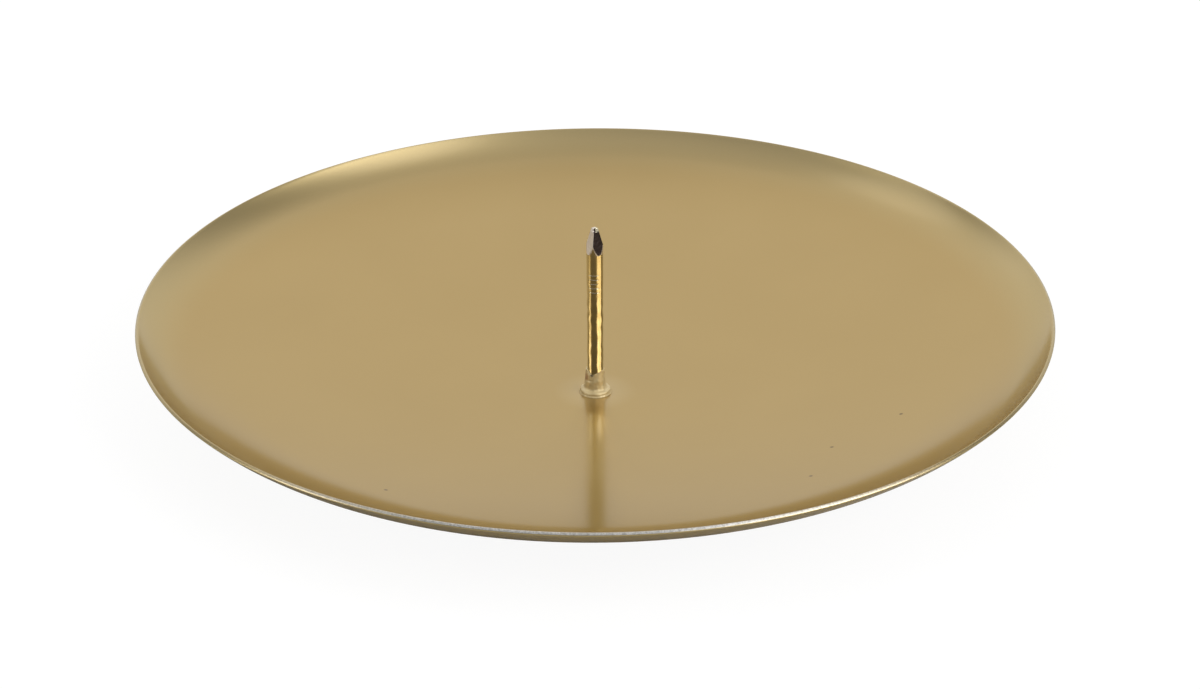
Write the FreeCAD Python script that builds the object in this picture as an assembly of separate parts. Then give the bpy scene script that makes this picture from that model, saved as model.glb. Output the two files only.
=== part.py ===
"""Candle plate: a shallow dished sheet metal plate with one upright candle spike, in millimetres.

The origin is the middle of the flat that the plate rests on, and +Z points up.
The spike is a flat headed pin with a four sided point, welded by its head to the plate's middle.
"""
import FreeCAD, Part
import math
import os

# plate
plate_diameter = 120.0      # over the rim
sheet_thickness = 0.5
seat_diameter = 20.0        # flat middle of the dish
shoulder_width = 9.8        # ring where the dish turns up, measured level
lip_width = 4.2             # outermost ring, turned up most, measured level
dish_slope = 11.7           # degrees, where the dish meets the shoulder
shoulder_slope = 27.8       # degrees, where the shoulder meets the lip
lip_slope = 47.0            # degrees, at the cut edge

# spike
shank_diameter = 2.2
spike_height = 23.7         # from the plate's upper face to the tip
head_diameter = 3.9
head_thickness = 0.6
head_bevel = 0.2            # on the upper edge of the head
head_fillet = 0.45          # hollow fillet between the head and the shank

# four sided point of the spike
facet_count = 4
facet_turn = 33.0           # degrees from +X to the first facet
point_length = 3.55         # from the tip down to where the facets leave the shank
point_hollow = 0.03         # how deep the facets are hollowed
neck_width = 0.84           # across flats, at the foot of the nib
nib_width = 0.58            # across flats, at the tip
nib_height = 0.5

# weld round the spike's head
bead_leg = 0.2              # along the head and along the plate

# room that a cutter takes past the metal it cuts
overrun = 1.0

plate_radius = plate_diameter / 2
shank_radius = shank_diameter / 2
head_radius = head_diameter / 2


def at(radius, height):
    """A point of an outline that is later turned about the axis."""
    return FreeCAD.Vector(radius, 0, height)


def line(start, end):
    return Part.LineSegment(start, end).toShape()


def arc(start, middle, end):
    return Part.Arc(start, middle, end).toShape()


def turned(edges):
    """The solid that a closed outline sweeps in one full turn about the axis."""
    face = Part.Face(Part.Wire(edges))
    return face.revolve(at(0, 0), FreeCAD.Vector(0, 0, 1), 360)


def normal(angle):
    """Unit step square to a slope that rises outwards by the angle, on its upper side."""
    return at(-math.sin(angle), math.cos(angle))


def hollow(radius):
    """The step from the corner of two square faces to the middle of a hollow fillet between them."""
    return at(radius, radius) * (1 - math.sqrt(0.5))


class Bend:
    """One arc of the sheet's section, which climbs to its last slope at a given radius from the axis."""

    def __init__(self, centre, radius, last):
        self.centre = centre
        self.radius = radius
        self.last = last

    def point(self, slope, depth):
        """The point with this slope, at a depth below the upper face."""
        return self.centre - normal(slope) * (self.radius + depth)

    def edge(self, first, depth):
        return arc(self.point(first, depth), self.point((first + self.last) / 2, depth), self.point(self.last, depth))

    def next(self, end_radius, last):
        """The steeper bend that goes on from this one, tangent to it."""
        start = self.point(self.last, 0)
        radius = (end_radius - start.x) / (math.sin(last) - math.sin(self.last))
        return Bend(start + normal(self.last) * radius, radius, last)


def plate_bends():
    """The dish, which is part of a ball about the axis, then the shoulder and the lip."""
    dish_end = math.radians(dish_slope)
    lip_end = math.radians(lip_slope)
    lip_start = plate_radius - lip_width
    shoulder_start = lip_start - shoulder_width
    ball_radius = shoulder_start / math.sin(dish_end)
    seat_slope = math.asin(seat_diameter / 2 / ball_radius)
    dish = Bend(at(0, sheet_thickness + ball_radius * math.cos(seat_slope)), ball_radius, dish_end)
    shoulder = dish.next(lip_start, math.radians(shoulder_slope))
    lip = shoulder.next(plate_radius - sheet_thickness * math.sin(lip_end), lip_end)
    return dish, shoulder, lip


def face_outline(bends, depth):
    """One face of the sheet from the axis outwards: the seat pressed flat, then the bends."""
    flat = sheet_thickness - depth
    dish = bends[0]
    slope = math.acos((dish.centre.z - flat) / (dish.radius + depth))
    edges = [line(at(0, flat), dish.point(slope, depth))]
    for bend in bends:
        edges.append(bend.edge(slope, depth))
        slope = bend.last
    return edges


def plate():
    """The dished sheet, with its cut edge square to the lip."""
    bends = plate_bends()
    lip = bends[-1]
    upper = face_outline(bends, 0)
    under = face_outline(bends, sheet_thickness)
    cut_edge = line(lip.point(lip.last, 0), lip.point(lip.last, sheet_thickness))
    middle = line(at(0, 0), at(0, sheet_thickness))
    return turned(upper + [cut_edge] + under[::-1] + [middle])


def spike_blank(foot, tip):
    """The headed pin before its point is cut."""
    head_top = foot + head_thickness
    bevel_foot = at(head_radius, head_top - head_bevel)
    bevel_top = at(head_radius - head_bevel, head_top)
    fillet_foot = at(shank_radius + head_fillet, head_top)
    fillet_top = at(shank_radius, head_top + head_fillet)
    return turned([
        line(at(0, foot), at(head_radius, foot)),
        line(at(head_radius, foot), bevel_foot),
        line(bevel_foot, bevel_top),
        line(bevel_top, fillet_foot),
        arc(fillet_foot, at(shank_radius, head_top) + hollow(head_fillet), fillet_top),
        line(fillet_top, at(shank_radius, tip)),
        line(at(shank_radius, tip), at(0, tip)),
        line(at(0, tip), at(0, foot)),
    ])


def facet_cutter(tip):
    """Takes off one side of the point: a hollow facet, and one side of the nib that the cutting dies leave."""
    foot = at(shank_radius, tip - point_length)
    neck = at(neck_width / 2, tip - nib_height)
    nib = at(nib_width / 2, tip)
    chord = neck - foot
    inwards = at(-chord.z, chord.x).normalize()
    middle = foot + chord / 2 + inwards * point_hollow
    outside = shank_radius + overrun
    face = Part.Face(Part.Wire([
        arc(foot, middle, neck),
        line(neck, nib),
        line(nib, at(nib.x, tip + overrun)),
        line(at(nib.x, tip + overrun), at(outside, tip + overrun)),
        line(at(outside, tip + overrun), at(outside, foot.z)),
        line(at(outside, foot.z), foot),
    ]))
    face.translate(FreeCAD.Vector(0, -outside, 0))
    return face.extrude(FreeCAD.Vector(0, 2 * outside, 0))


def spike():
    """The pin that the candle is pushed onto, with its head face down on the plate."""
    foot = sheet_thickness
    tip = foot + spike_height
    body = spike_blank(foot, tip)
    for number in range(facet_count):
        cutter = facet_cutter(tip)
        cutter.rotate(at(0, 0), FreeCAD.Vector(0, 0, 1), facet_turn + number * 360 / facet_count)
        body = body.cut(cutter)
    return body


def weld_bead():
    """A ring of weld metal in the corner between the spike's head and the plate."""
    corner = at(head_radius, sheet_thickness)
    outer = corner + at(bead_leg, 0)
    upper = corner + at(0, bead_leg)
    return turned([line(corner, outer), line(outer, upper), line(upper, corner)])


os.makedirs("parts", exist_ok=True)
for name, shape in (("plate", plate()), ("spike", spike()), ("weld_bead", weld_bead())):
    shape.exportStep("parts/" + name + ".step")
    box = shape.optimalBoundingBox()
    print(name, "valid", shape.isValid(), "solids", len(shape.Solids), "volume %.3f" % shape.Volume,
          "box %.3f x %.3f x %.3f" % (box.XLength, box.YLength, box.ZLength), "top %.3f" % box.ZMax)
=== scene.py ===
"""Candle plate: a dished sheet steel plate in gold lacquer, with one brass plated candle spike."""
import bpy
import bmesh
import math
from mathutils import Matrix, Vector, noise


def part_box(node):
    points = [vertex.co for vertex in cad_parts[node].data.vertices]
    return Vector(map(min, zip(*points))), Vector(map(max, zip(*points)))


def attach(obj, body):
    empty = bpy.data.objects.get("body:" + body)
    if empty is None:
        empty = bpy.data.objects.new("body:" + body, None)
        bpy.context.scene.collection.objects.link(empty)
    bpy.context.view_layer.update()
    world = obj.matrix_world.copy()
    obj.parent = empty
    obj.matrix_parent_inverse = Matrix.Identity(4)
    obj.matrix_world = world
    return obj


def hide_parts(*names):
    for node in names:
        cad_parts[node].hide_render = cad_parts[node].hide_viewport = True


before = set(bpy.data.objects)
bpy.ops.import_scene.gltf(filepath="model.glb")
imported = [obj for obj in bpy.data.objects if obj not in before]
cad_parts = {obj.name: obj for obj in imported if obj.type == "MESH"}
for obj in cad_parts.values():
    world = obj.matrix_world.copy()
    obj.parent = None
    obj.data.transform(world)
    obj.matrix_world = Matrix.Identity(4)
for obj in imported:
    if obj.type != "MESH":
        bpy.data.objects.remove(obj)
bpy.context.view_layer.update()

mm = 0.001

# the sheet's section, as the solid plate has it; all slopes are in degrees
plate_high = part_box("plate")[1]
plate_radius = plate_high.x
sheet_thickness = 0.5 * mm
seat_radius = 10.0 * mm
shoulder_width = 9.8 * mm
lip_width = 4.2 * mm
dish_slope = 11.7
shoulder_slope = 27.8
lip_slope = 47.0
seat_blend = 100.0 * mm         # radius that eases the flat seat into the dish
shear_round = 0.11 * mm         # radius of the corners of the cut edge
edge_start = 0.6 * shear_round  # the cut edge takes in its corners up to this far back
bare_width = 0.34 * mm          # of the cut edge from its upper corner down; the rest is lacquered

# the spike, as its solid has it; on the pieces, azimuths are in degrees from the front, right of it positive
spike_low, spike_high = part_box("spike")
head_radius = spike_high.x
foot = spike_low.z
tip = spike_high.z
shank_radius = 1.1 * mm
head_thickness = 0.6 * mm
head_bevel = 0.2 * mm
head_fillet = 0.45 * mm
facet_count = 4
facet_arc = 360 / facet_count
facet_turn = 33.0
point_length = 3.55 * mm
point_hollow = 0.03 * mm
neck_width = 0.84 * mm
nib_width = 0.58 * mm
nib_height = 0.5 * mm

# how the pinch left the point
torn_and_shaded_facet = 3                  # counted from the facet turn: the right one of the two in front; its tear is real relief, its near-black colour is painted shade
tear_depth = 0.03 * mm
tear_size = 0.22 * mm
tear_base = 0.5                 # share of the tear's depth that is gone all over
bare_margin = 0.09 * mm         # the plating is torn off this far past the facets
scraped_start = 48.0            # between these azimuths the plating is gone beside the point
scraped_end = 96.0
pit_azimuth = 2.0               # of the pit that parts the nib
pit_width = 32.0
pit_fade = 1.5                  # the pit ends this many widths from its middle
pit_dark = 0.7                  # the pit is painted dark as shade up to this many widths from its middle
pit_depth = 0.12 * mm
pit_rise = 0.5 * nib_height     # the pit deepens over this much of the nib

# marks on the shank where the pin machine's dies gripped it, and its dents
grip_marks = 5
grip_pitch = 0.62 * mm
grip_drop = 6.37 * mm           # from the tip down to the first mark
grip_lip = 0.05 * mm            # radius of each mark's shoulders
grip_root = 0.06 * mm           # radius of each mark's bottom
grip_slope = 48.0
grip_middle = -8.0              # azimuth where the dies bit deepest
grip_reach = 38.0
grip_fade = 1.4                 # a mark ends this many reaches from its middle
grip_uneven = 0.7               # share of the reach that comes and goes from mark to mark
grip_waver = 1.7                # how fast it does so, per mark
grip_bright = 0.5               # a bite harder than this laid the steel bare
bitten_depth = 0.6 * grip_root  # a ring drawn in further than this lies in a mark
shank_dents = 0.06 * mm
dent_base = 0.6                 # share of the dents' depth that is gone all over
dent_start = 4.0 * mm           # the dents set in over this length below the first mark
dent_width = 1.2 * mm
dent_pitch = 1.0 * mm

# the lacquer skin over the weld, the head and the foot of the shank
weld_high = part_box("weld_bead")[1]
weld_radius = weld_high.x
skin = 0.05 * mm                # over the head
skin_toe = 0.22 * mm            # height where the skin leaves the weld for the head's side
skin_crown = 1.4 * skin         # over the head, at the foot of the fillet
skin_fillet = 0.8 * head_fillet
head_round = 0.3 * mm
head_fall = 175.0               # heading from the rounding in towards the fillet
sleeve = 0.2 * mm               # over the shank, at its foot
sleeve_edge = 0.45 * sleeve     # over the shank, at its upper edge
sleeve_round = 0.2 * sleeve
sleeve_lean = 0.06 * mm         # the run is thicker on the left
sleeve_start = 2 * head_thickness
sleeve_top = 3.85 * mm
sleeve_dip = 0.6 * mm           # the notch in its upper edge
dip_azimuth = -24.0             # of the notch's bottom, which rises to both sides
dip_left = 40.0
dip_right = 70.0
skin_lumps = 0.08 * mm
lump_size = 0.9 * mm
lump_grain = 0.4 * mm
lump_grain_share = 0.6
lump_foot_share = 0.5           # of the head's height, below which no lump lifts the skin

# colours and grain of the lacquer on the plate
lacquer_dark = "B1965F"
lacquer_light = "B69B64"
lacquer_thin = "B8A474"
lacquer_pool = "BCA470"
cloud_size = 16.0 * mm
flake_size = 0.45 * mm
flake_height = 0.0024 * mm
peel_size = 1.3 * mm
peel_height = 0.0036 * mm
thin_start = 53.0 * mm          # from here outwards the lacquer thins, and the steel greys it
pool_start = 2.5 * mm           # round the spike's foot it pooled, and hides the flake
pool_end = 5.5 * mm
pool_metal = 0.66
pool_stretch = 20.0             # flattens the pool, so that it stays on the upper face

# dust under the lacquer, right of, in front of and above the middle of the foot, in mm
dust_specks = ((30.2, -21.8, 3.4), (27.2, -31.1, 4.1), (-26.4, -35.3, 4.6), (39.4, -14.2, 4.2))
speck_radius = 0.35 * mm
spot_core_share = 1 / 3         # of a spot's radius, within which its colour is whole

# grain of the bare and the plated metal
edge_grain = 0.3 * mm
edge_height = 0.018 * mm
highlight_front = -58.0 * mm         # where along Y the cut edge's painted silvery highlight is whole; it fades to gold by the next value
highlight_end = -41.0 * mm
wire_line = 0.12 * mm
wire_squash = 0.04              # along the wire, which draws its grain out into lines
wire_height = 0.0012 * mm
wire_cloud = 1.5 * mm
pinch_grain = 0.25 * mm
pinch_height = 0.004 * mm
torn_height = 0.03 * mm

# the skin's clouds, a near-black spot at the bottom of its notch, and a browner patch on its front left
skin_cloud = 0.8 * mm
skin_height = 0.012 * mm
notch_dark_spot = (-0.5 * mm, -1.2 * mm, 3.42 * mm)
notch_dark_radius = 0.36 * mm
side_brown_middle = (-1.2 * mm, -0.5 * mm, 2.9 * mm)
side_brown_radius = 0.7 * mm

# how finely the turned pieces are cut
turns = 256
shank_turns = 96
merge_distance = 0.0005 * mm

# the studio; the lights are stops of degrees above the horizon and strength
floor_fill = 0.88               # share of the table's shade that is evened out for the camera
floor_glow = 1.06
table_reach = 3.0
back_light = ((0, 0.66), (8, 1.01), (20, 1.02), (50, 1.02), (70, 0.95), (82, 0.76), (90, 0.68))
room_light = ((0, 0.3), (20, 0.18), (46, 0.2), (60, 0.6), (75, 0.7), (90, 0.68))
back_end = 33.0                 # from the far side round to here there is only the back light
room_start = 70.0               # and from here on only the room's

# soft patches of light: azimuth from the far side to the right, elevation, the radii where each
# ends and where it is whole, and its strength
patches = (
    (102, 32, 18, 8, 4.2),
    (136, 32, 18, 8, 5.0),
    (110, 53, 20, 6, 1.3),
    (-101, 28, 18, 9, 3.9),
    (-64, 48, 15, 6, 0.8),
    (26, -4, 13, 4, 0.45),
    (-26, -4, 13, 4, 0.45),
    (-48, 24, 14, 5, 0.22),
)

# the camera, as the photograph has it
camera_distance = 782.0 * mm
camera_rise = math.radians(26.41)
camera_roll = math.radians(-0.287)
camera_aim = Vector((0.62 * mm, 0, 7.34 * mm))
focal_pixels = 5975.7
image_width = 1200
sensor_width = 36.0


class Section:
    """Half of a turned piece in the XZ plane, drawn as runs and bends from a starting point.

    A heading is in degrees: 0 points away from the axis and 90 points up.
    """

    def __init__(self, radius, height, heading=0.0):
        self.mesh = bmesh.new()
        self.first = self.mesh.verts.new((radius, 0, height))
        self.end = self.first
        self.heading = heading

    def step(self, angle, length):
        turn = math.radians(self.heading + angle)
        return Vector((math.cos(turn), 0, math.sin(turn))) * length

    def run(self, length, cuts=1):
        """A straight stretch, cut into equal lengths."""
        for _ in range(cuts):
            grown = bmesh.ops.extrude_vert_indiv(self.mesh, verts=[self.end])
            self.end = grown["verts"][0]
            bmesh.ops.translate(self.mesh, verts=[self.end], vec=self.step(0, length / cuts))

    def bend(self, radius, heading, steps):
        """An arc from the present heading to the next, tangent to both, the short way round."""
        turn = (heading - self.heading + 180) % 360 - 180
        centre = self.end.co + self.step(math.copysign(90, turn), radius)
        swept = bmesh.ops.spin(self.mesh, geom=[self.end], cent=centre, axis=(0, 1, 0), dvec=(0, 0, 0),
                               angle=-math.radians(turn), steps=steps)
        self.end = swept["geom_last"][0]
        self.heading = heading

    def to(self, radius, height, cuts=1):
        """A straight stretch to a point."""
        way = Vector((radius, 0, height)) - self.end.co
        self.heading = math.degrees(math.atan2(way.z, way.x))
        self.run(way.length, cuts)

    def close(self):
        self.mesh.edges.new((self.end, self.first))

    def turned(self, steps):
        """The whole piece, swept once about the upright axis."""
        outline = self.mesh.verts[:] + self.mesh.edges[:]
        bmesh.ops.spin(self.mesh, geom=outline, cent=(0, 0, 0), axis=(0, 0, 1), dvec=(0, 0, 0),
                       angle=math.tau, steps=steps, use_merge=True)
        bmesh.ops.remove_doubles(self.mesh, verts=self.mesh.verts, dist=merge_distance)
        bmesh.ops.recalc_face_normals(self.mesh, faces=self.mesh.faces)
        return self.mesh


def piece(name, mesh, materials):
    """A finished piece in the scene, smooth shaded, at the origin."""
    data = bpy.data.meshes.new(name)
    mesh.to_mesh(data)
    mesh.free()
    for material in materials:
        data.materials.append(material)
    data.shade_smooth()
    made = bpy.data.objects.new(name, data)
    bpy.context.scene.collection.objects.link(made)
    return made


def smoothstep(value):
    value = min(max(value, 0.0), 1.0)
    return value * value * (3 - 2 * value)


def from_front(place):
    """How far round from the front a place stands, in degrees, right of it positive."""
    return math.degrees(math.atan2(place.x, -place.y))


def tone(code):
    """An sRGB hex colour as the linear colour that the shaders take."""
    channels = [int(code[place:place + 2], 16) / 255 for place in (0, 2, 4)]
    return [c / 12.92 if c <= 0.04045 else ((c + 0.055) / 1.055) ** 2.4 for c in channels] + [1.0]


def add(tree, kind, settings=None, links=None):
    """Adds one shader node with its properties and sockets set, and links sockets to it.

    Where a link names a node, the first output that it has in use is taken.
    """
    made = tree.nodes.new("ShaderNode" + kind)
    sockets = {socket.identifier: socket for socket in made.inputs}
    for name, value in (settings or {}).items():
        if name in sockets:
            sockets[name].default_value = value
        elif name == "stops":
            while len(made.color_ramp.elements) < len(value):
                made.color_ramp.elements.new(0.5)
            for element, (place, colour) in zip(made.color_ramp.elements, value):
                element.position = place
                element.color = colour
        else:
            setattr(made, name, value)
    for name, source in (links or {}).items():
        if hasattr(source, "outputs"):
            source = next(socket for socket in source.outputs if socket.enabled)
        tree.links.new(source, sockets[name])
    return made


def blank_material(name):
    """A new material, with its node tree emptied."""
    material = bpy.data.materials.new(name)
    material.use_nodes = True
    material.node_tree.nodes.clear()
    return material, material.node_tree


def own_place(tree):
    """Where on the object a point of the surface lies."""
    return add(tree, "TexCoord").outputs["Object"]


def grain(tree, place, size, detail=2.0, roughness=0.5):
    """Noise whose spots are about as wide as the size."""
    settings = {"Scale": 1 / size, "Detail": detail, "Roughness": roughness}
    return add(tree, "TexNoise", settings, {"Vector": place})


def mixed(tree, share, first, second):
    """From the first colour to the second; each is a hex code, or what links to a socket."""
    settings = {"data_type": "RGBA"}
    links = {"Factor_Float": share}
    for socket, colour in (("A_Color", first), ("B_Color", second)):
        if isinstance(colour, str):
            settings[socket] = tone(colour)
        else:
            links[socket] = colour
    return add(tree, "Mix", settings, links)


def relief(tree, height, depth, below=None):
    """A bump as deep as said, on top of the one below it."""
    links = {"Height": height}
    if below is not None:
        links["Normal"] = below
    return add(tree, "Bump", {"Strength": 1.0, "Distance": depth}, links)


def spot(tree, place, colour, middle, radius, code):
    """Lays a small round spot of another colour over a surface's colour."""
    off = add(tree, "VectorMath", {"operation": "DISTANCE", "Vector_001": middle}, {"Vector": place})
    fade = {"interpolation_type": "SMOOTHSTEP", "From Min": radius, "From Max": radius * spot_core_share}
    over = add(tree, "MapRange", fade, {"Value": off})
    return mixed(tree, over, colour, code)


def surface(tree, settings, links):
    shader = add(tree, "BsdfPrincipled", settings, links)
    add(tree, "OutputMaterial", {}, {"Surface": shader})


def gold_lacquer():
    """Acrylic lacquer with fine aluminium flake, sprayed on sheet steel and stoved.

    The flake gives a satin metal sheen that stays gold at a low angle, under a thin clear gloss.
    """
    material, tree = blank_material("gold_flake_lacquer")
    place = own_place(tree)
    tint = mixed(tree, grain(tree, place, cloud_size), lacquer_dark, lacquer_light)

    # thinner towards the rim
    flatten = {"operation": "MULTIPLY", "Vector_001": (1.0, 1.0, 0.0)}
    level = add(tree, "VectorMath", flatten, {"Vector": place})
    reach = add(tree, "VectorMath", {"operation": "LENGTH"}, {"Vector": level})
    thinning = {"interpolation_type": "SMOOTHSTEP", "From Min": thin_start, "From Max": plate_radius}
    thin = add(tree, "MapRange", thinning, {"Value": reach})
    tint = mixed(tree, thin, tint, lacquer_thin)

    # pooled round the spike's foot
    stretch = {"Location": (0.0, 0.0, -pool_stretch * sheet_thickness), "Scale": (1.0, 1.0, pool_stretch)}
    pooled = add(tree, "Mapping", stretch, {"Vector": place})
    off_foot = add(tree, "VectorMath", {"operation": "LENGTH"}, {"Vector": pooled})
    pooling = {"From Min": pool_start, "From Max": pool_end, "To Min": pool_metal}
    metal = add(tree, "MapRange", pooling, {"Value": off_foot})
    tint = mixed(tree, metal, lacquer_pool, tint)

    for middle in dust_specks:
        tint = spot(tree, place, tint, [side * mm for side in middle], speck_radius, "6E5A36")
    peel = relief(tree, grain(tree, place, peel_size, roughness=0.6), peel_height)
    flake = relief(tree, grain(tree, place, flake_size, detail=1.0), flake_height, peel)
    settings = {"Roughness": 0.31, "Specular Tint": tone("D0C094"),
                "Coat Weight": 0.8, "Coat Roughness": 0.16}
    surface(tree, settings, {"Base Color": tint, "Metallic": metal, "Normal": flake})
    return material


def sheared_edge():
    """Steel sheet sheared and tumbled: a grainy line that sparkles along the rim.

    Its steel grain is kept silvery only along the front of the rim, as a painted highlight, and turns gold
    further round.
    """
    material, tree = blank_material("sheared_steel_edge")
    place = own_place(tree)
    specks = grain(tree, place, edge_grain)
    tint = mixed(tree, specks, "8A867E", "FCFAF4")
    # painted highlight: the silvery steel colour holds only along the front and turns gold further round
    along = add(tree, "SeparateXYZ", {}, {"Vector": place}).outputs["Y"]
    front_highlight_fade = add(tree, "MapRange", {"From Min": highlight_front, "From Max": highlight_end}, {"Value": along})
    tint = mixed(tree, front_highlight_fade, tint, "B6A47A")
    rough = relief(tree, specks, edge_height)
    surface(tree, {"Metallic": 1.0, "Roughness": 0.3}, {"Base Color": tint, "Normal": rough})
    return material


def brass_plate():
    """Brass plated on drawn steel wire: a bright yellow mirror with fine lines along the wire."""
    material, tree = blank_material("brass_plated_wire")
    place = own_place(tree)
    drawn = add(tree, "Mapping", {"Scale": (1.0, 1.0, wire_squash)}, {"Vector": place})
    lines = relief(tree, grain(tree, drawn, wire_line), wire_height)
    tint = mixed(tree, grain(tree, place, wire_cloud), "DBD1B0", "E9E1C7")
    surface(tree, {"Metallic": 1.0, "Roughness": 0.13}, {"Base Color": tint, "Normal": lines})
    return material


def cut_steel(name, dark, light, roughness, height):
    """Bare steel where the dies pinched the wire off: plain grey, its shine broken by the torn grain; its
    near-black copy is painted shade.
    """
    material, tree = blank_material(name)
    place = own_place(tree)
    specks = grain(tree, place, pinch_grain, detail=3.0)
    tint = mixed(tree, specks, dark, light)
    torn = relief(tree, specks, height)
    surface(tree, {"Metallic": 1.0, "Roughness": roughness}, {"Base Color": tint, "Normal": torn})
    return material


def lacquer_skin():
    """The same lacquer where it ran over the weld: too thick for its flake, so pale and like enamel."""
    material, tree = blank_material("pooled_gold_lacquer")
    place = own_place(tree)
    cloud = grain(tree, place, skin_cloud)
    tint = mixed(tree, cloud, "C6B080", "DAC89A")
    tint = spot(tree, place, tint, notch_dark_spot, notch_dark_radius, "120A08")
    tint = spot(tree, place, tint, side_brown_middle, side_brown_radius, "B4906A")
    sag = relief(tree, cloud, skin_height)
    settings = {"Metallic": 0.45, "Roughness": 0.5, "Coat Weight": 0.3, "Coat Roughness": 0.2}
    surface(tree, settings, {"Base Color": tint, "Normal": sag})
    return material


def dished_plate():
    """The plate: flat seat, ball shaped dish, shoulder and lip, and back along the underside."""
    slope = math.radians(dish_slope)
    shoulder_end = math.radians(shoulder_slope)
    square = math.radians(lip_slope)
    lip_start = plate_radius - lip_width
    shoulder_start = lip_start - shoulder_width
    lip_end = plate_radius - sheet_thickness * math.sin(square)
    dish = shoulder_start / math.sin(slope)
    seat_cos = math.sqrt(1 - (seat_radius / dish) ** 2)
    ease = math.acos((dish * seat_cos - seat_blend) / (dish - seat_blend))
    seat = (dish - seat_blend) * math.sin(ease)
    shoulder = shoulder_width / (math.sin(shoulder_end) - math.sin(slope))
    lip = (lip_end - lip_start) / (math.sin(square) - math.sin(shoulder_end))
    bends = [(seat_blend, math.degrees(ease), 6), (dish, dish_slope, 40), (shoulder, shoulder_slope, 20)]
    trim = math.degrees(shear_round / lip)

    upper = Section(0, sheet_thickness)
    upper.run(seat, 6)
    for radius, heading, steps in bends:
        upper.bend(radius, heading, steps)
    upper.bend(lip, lip_slope - trim, 16)
    upper.heading = lip_slope
    upper.bend(shear_round, lip_slope - 90, 5)
    upper.run(sheet_thickness - 2 * shear_round, 2)
    upper.bend(shear_round, lip_slope - 180, 5)
    upper.heading = lip_slope - 180 - trim
    upper.bend(lip + sheet_thickness, shoulder_slope - 180, 16)
    slopes = [heading for radius, heading, steps in bends]
    for (radius, heading, steps), last in zip(bends[::-1], slopes[-2::-1] + [0.0]):
        upper.bend(radius + sheet_thickness, last - 180, steps)
    upper.run(upper.end.co.x, 6)
    mesh = upper.turned(turns)

    corner = Vector((lip_end, plate_high.z))
    along = Vector((math.cos(square), math.sin(square)))
    for face in mesh.faces:
        middle = face.calc_center_median()
        offset = Vector((middle.xy.length, middle.z)) - corner
        bare = offset.dot(along) > -edge_start and offset.cross(along) < bare_width
        face.material_index = int(bare)
    return mesh


def cut_width(height):
    """How far each facet of the spike's point stands from the axis at a height."""
    below = tip - height
    if below < nib_height:
        return (nib_width + (neck_width - nib_width) * below / nib_height) / 2
    share = (below - nib_height) / (point_length - nib_height)
    straight = neck_width / 2 + (shank_radius - neck_width / 2) * share
    return straight - 4 * point_hollow * share * (1 - share)


def facet_number(place):
    """Which facet of the point a place belongs to, and how far round from the facet's middle it is."""
    turn = math.degrees(math.atan2(place.y, place.x)) - facet_turn
    number = round(turn / facet_arc)
    return number % facet_count, math.radians(turn - number * facet_arc)


def grip_bite(place):
    """How hard the dies bit at a place of the shank: strongest left of the front, and uneven round it."""
    uneven = noise.noise(Vector((0, 0, place.z / grip_pitch * grip_waver)))
    reach = grip_reach * (1 + grip_uneven * uneven)
    return smoothstep(grip_fade - abs(from_front(place) - grip_middle) / reach)


def headed_pin():
    """The pin before its point is pinched: head, fillet and drawn shank, with a ring for each grip mark."""
    pin = Section(0, foot)
    pin.run(head_radius)
    pin.heading = 90
    pin.run(head_thickness - head_bevel)
    pin.to(head_radius - head_bevel, foot + head_thickness)
    pin.to(shank_radius + head_fillet, foot + head_thickness)
    pin.bend(head_fillet, 90, 6)
    mark = tip - grip_drop - (grip_marks - 1) * grip_pitch
    groove = 2 * (grip_lip + grip_root) * math.sin(math.radians(grip_slope))
    pin.run(mark - groove / 2 - pin.end.co.z, 90)
    for number in range(grip_marks):
        pin.bend(grip_lip, 90 + grip_slope, 3)
        pin.bend(grip_root, 90 - grip_slope, 5)
        pin.bend(grip_lip, 90, 3)
        if number < grip_marks - 1:
            pin.run(grip_pitch - groove, 3)
    pin.run(tip - point_length - pin.end.co.z, 20)
    pin.run(point_length - nib_height, 60)
    pin.run(tip - pin.end.co.z, 12)
    pin.to(0, tip, 6)
    return pin.turned(shank_turns)


def pinch_share(place):
    """How near the axis a place of the point was pinched, as a share of the shank's radius."""
    number, off = facet_number(place)
    limit = cut_width(place.z) / math.cos(off)
    if number == torn_and_shaded_facet and limit < shank_radius:
        limit -= tear_depth * (tear_base + noise.noise(place / tear_size))
    pit = smoothstep(pit_fade - abs(from_front(place) - pit_azimuth) / pit_width)
    limit -= pit_depth * pit * smoothstep((place.z - tip + nib_height) / pit_rise)
    return min(shank_radius, limit) / shank_radius


def candle_spike():
    """The spike: the headed pin with its grip marks on one side only, its dents and its four sided point."""
    mesh = headed_pin()
    bmesh.ops.rotate(mesh, verts=mesh.verts, cent=(0, 0, 0),
                     matrix=Matrix.Rotation(math.radians(facet_turn), 3, "Z"))
    head_top = foot + head_thickness
    point_foot = tip - point_length
    drawn_in = [vert.co.z for vert in mesh.verts if vert.co.xy.length < shank_radius - bitten_depth]
    mark_heights = {round(z / mm, 3) for z in drawn_in if head_top < z < point_foot}
    for vert in mesh.verts:
        place = vert.co.copy()
        radius = place.xy.length
        if not radius:
            continue
        if place.z > point_foot:
            vert.co.xy *= pinch_share(place)
        elif place.z > head_top + head_fillet:
            vert.co.xy *= 1 + (shank_radius / radius - 1) * (1 - grip_bite(place))
            low = smoothstep((tip - grip_drop - place.z) / dent_start)
            swell = noise.noise(Vector((place.x / dent_width, place.y / dent_width, place.z / dent_pitch)))
            vert.co.xy *= 1 - shank_dents * low * (dent_base + swell) / radius
    for face in mesh.faces:
        face.material_index = face_metal(face.calc_center_median(), mark_heights)
    return mesh


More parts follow.
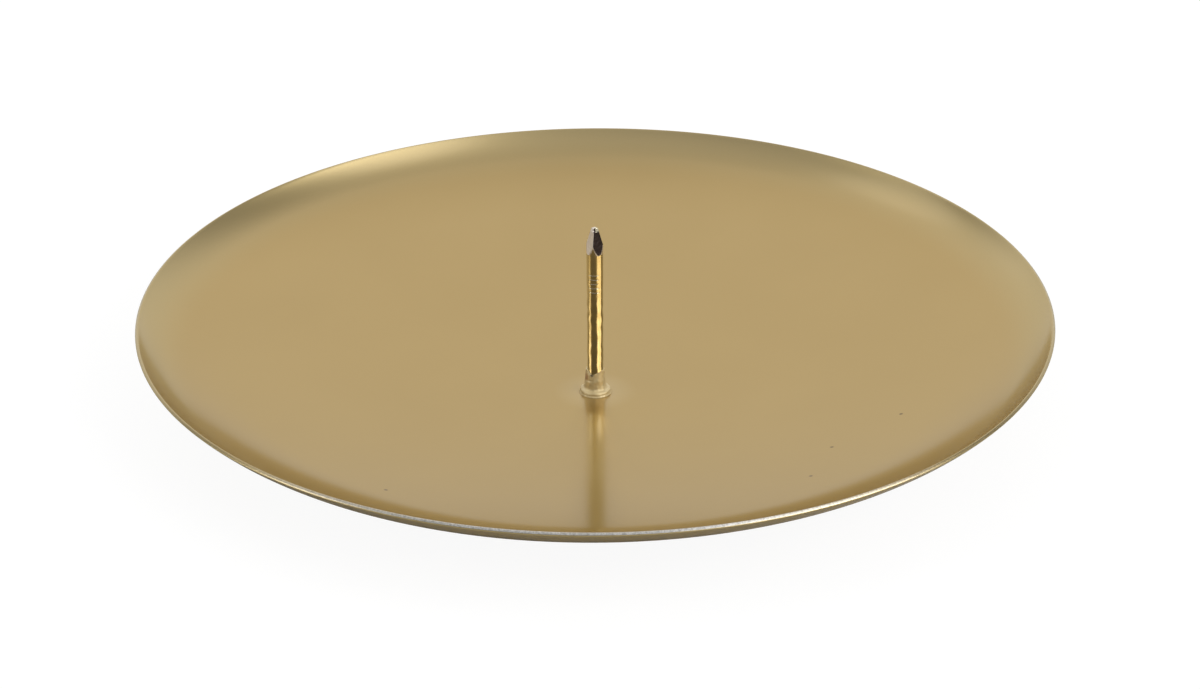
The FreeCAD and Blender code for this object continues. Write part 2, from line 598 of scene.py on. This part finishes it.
def face_metal(middle, mark_heights):
    """0 where the brass plating is whole, 1 on bright cut steel, 2 on the torn facet and the nib's pit,
    which are painted near black as shade.

    The heights of the marks' rings are in mm.
    """
    around = from_front(middle)
    if middle.z < tip - point_length:
        near = any(abs(middle.z - z * mm) < grip_root for z in mark_heights)
        return int(near and grip_bite(middle) > grip_bright)
    if middle.z > tip - nib_height:
        # the nib's pit is painted dark as shade
        if abs(around - pit_azimuth) < pit_dark * pit_width:
            return 2
        return int(around < pit_azimuth)
    number, off = facet_number(middle)
    depth = shank_radius - cut_width(middle.z) / math.cos(off)
    # the torn facet is painted dark as shade; its tear is real relief
    if number == torn_and_shaded_facet and depth > 0:
        return 2
    return int(depth > -bare_margin or scraped_start < around < scraped_end)


def skin_over_weld():
    """The lacquer that ran over the weld, the head and the foot of the shank, as one closed skin."""
    top = foot + head_thickness
    coat = Section(head_radius - skin, foot)
    coat.to(weld_radius, foot, 2)
    coat.to(head_radius + skin, foot + skin_toe, 3)
    coat.to(head_radius + skin, top - head_round + skin, 4)
    coat.heading = 90
    coat.bend(head_round, head_fall, 8)
    coat.to(shank_radius + sleeve + skin_fillet, top + skin_crown, 6)
    coat.bend(skin_fillet, 90, 8)
    coat.to(shank_radius + sleeve_edge, sleeve_top, 40)
    coat.bend(sleeve_round, 180, 4)
    coat.to(shank_radius - skin, coat.end.co.z, 2)
    coat.to(shank_radius - skin, top - skin, 20)
    coat.to(head_radius - skin, top - skin, 4)
    coat.close()
    mesh = coat.turned(shank_turns)
    for vert in mesh.verts:
        place = vert.co.copy()
        around = from_front(place) - dip_azimuth
        up = smoothstep((place.z - foot - sleeve_start) / (sleeve_top - sleeve_start))
        dip = max(0.0, 1 - abs(around) / (dip_right if around > 0 else dip_left))
        vert.co.z -= sleeve_dip * dip * up
        if place.xy.length > shank_radius + skin and place.z > foot:
            lump = noise.noise(place / lump_size) + lump_grain_share * noise.noise(place / lump_grain)
            lift = smoothstep((place.z - foot) / head_thickness - lump_foot_share)
            vert.co.xy *= 1 + skin_lumps * lump / place.xy.length
            vert.co.z += skin_lumps * lump * (1 - up) * lift
            vert.co.x -= sleeve_lean * smoothstep((place.z - top) / head_fillet)
    return mesh


def shown_apart(tree, output, lit, shown):
    """Shows the camera one shader, and lets all other light meet the other."""
    seen = add(tree, "LightPath").outputs["Is Camera Ray"]
    both = add(tree, "MixShader", {}, {"Fac": seen, "Shader": lit, "Shader_001": shown})
    add(tree, output, {}, {"Surface": both})


def white_table():
    """A white painted table, which the camera sees almost evenly white, with a faint shadow."""
    material, tree = blank_material("white_table")
    paint = add(tree, "BsdfDiffuse", {"Color": tone("E2E2E0")})
    glow = add(tree, "Emission", {"Color": tone("FFFFFF"), "Strength": floor_glow})
    shown = add(tree, "MixShader", {"Fac": floor_fill}, {"Shader": paint, "Shader_001": glow})
    shown_apart(tree, "OutputMaterial", paint, shown)
    return material


def sky(tree, height, stops):
    """Light by height above the horizon, through its stops."""
    colours = [(rise / 90, (value, value, value, 1)) for rise, value in stops]
    return add(tree, "ValToRGB", {"stops": colours}, {"Fac": height}).outputs["Color"]


def patch(tree, way, azimuth, elevation, outer, inner, strength):
    """One soft round patch of light."""
    flat = math.cos(math.radians(elevation))
    aim = (flat * math.sin(math.radians(azimuth)), flat * math.cos(math.radians(azimuth)),
           math.sin(math.radians(elevation)))
    near = add(tree, "VectorMath", {"operation": "DOT_PRODUCT", "Vector_001": aim}, {"Vector": way})
    fade = {"interpolation_type": "SMOOTHSTEP", "From Min": math.cos(math.radians(outer)),
            "From Max": math.cos(math.radians(inner)), "To Max": strength}
    return add(tree, "MapRange", fade, {"Value": near})


def studio():
    """Bright walls behind the plate, a dim room round it, and the lights that its rim mirrors."""
    world = bpy.data.worlds.new("studio")
    world.use_nodes = True
    tree = world.node_tree
    tree.nodes.clear()
    way = add(tree, "TexCoord").outputs["Generated"]
    axes = add(tree, "SeparateXYZ", {}, {"Vector": way}).outputs
    rise = add(tree, "Math", {"operation": "ARCSINE"}, {"Value": axes["Z"]})
    height = add(tree, "MapRange", {"From Min": 0.0, "From Max": math.pi / 2}, {"Value": rise})
    turn = add(tree, "Math", {"operation": "ARCTAN2"}, {"Value": axes["X"], "Value_001": axes["Y"]})
    apart = add(tree, "Math", {"operation": "ABSOLUTE"}, {"Value": turn})
    fade = {"interpolation_type": "SMOOTHSTEP", "From Min": math.radians(back_end),
            "From Max": math.radians(room_start)}
    towards = add(tree, "MapRange", fade, {"Value": apart})
    light = mixed(tree, towards, sky(tree, height, back_light), sky(tree, height, room_light))
    for azimuth, elevation, outer, inner, strength in patches:
        spread = patch(tree, way, azimuth, elevation, outer, inner, strength)
        light = add(tree, "VectorMath", {"operation": "ADD"}, {"Vector": light, "Vector_001": spread})
    lit = add(tree, "Background", {}, {"Color": light})
    white = add(tree, "Background", {"Color": tone("FFFFFF")})
    shown_apart(tree, "OutputWorld", lit, white)
    return world


def photo_camera():
    """The camera, looking along +Y and down at the plate."""
    lens = bpy.data.cameras.new("camera")
    lens.sensor_width = sensor_width
    lens.lens = sensor_width * focal_pixels / image_width
    camera = bpy.data.objects.new("camera", lens)
    bpy.context.scene.collection.objects.link(camera)
    looking = Vector((0, math.cos(camera_rise), -math.sin(camera_rise)))
    camera.location = camera_aim - looking * camera_distance
    upright = looking.to_track_quat("-Z", "Y").to_matrix()
    camera.rotation_euler = (upright @ Matrix.Rotation(camera_roll, 3, "Z")).to_euler()
    return camera


plate = piece("plate_lacquered", dished_plate(), [gold_lacquer(), sheared_edge()])
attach(plate, "root")
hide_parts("plate")

brass = brass_plate()
pinched = cut_steel("pinched_steel", "D6CABC", "F4EADE", 0.34, pinch_height)
# a near-black copy of the cut steel: painted shade on the torn facet and in the nib's pit
torn = cut_steel("torn_steel_painted_shade", "211A19", "504643", 0.5, torn_height)
spike = piece("candle_spike", candle_spike(), [brass, pinched, torn])
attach(spike, "root")
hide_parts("spike")

skin_piece = piece("weld_and_skin", skin_over_weld(), [lacquer_skin()])
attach(skin_piece, "root")
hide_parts("weld_bead")

mesh = bmesh.new()
bmesh.ops.create_grid(mesh, x_segments=8, y_segments=8, size=table_reach)
floor = piece("table", mesh, [white_table()])

bpy.context.scene.world = studio()
bpy.context.scene.camera = photo_camera()
bpy.context.scene.view_settings.view_transform = "Standard"
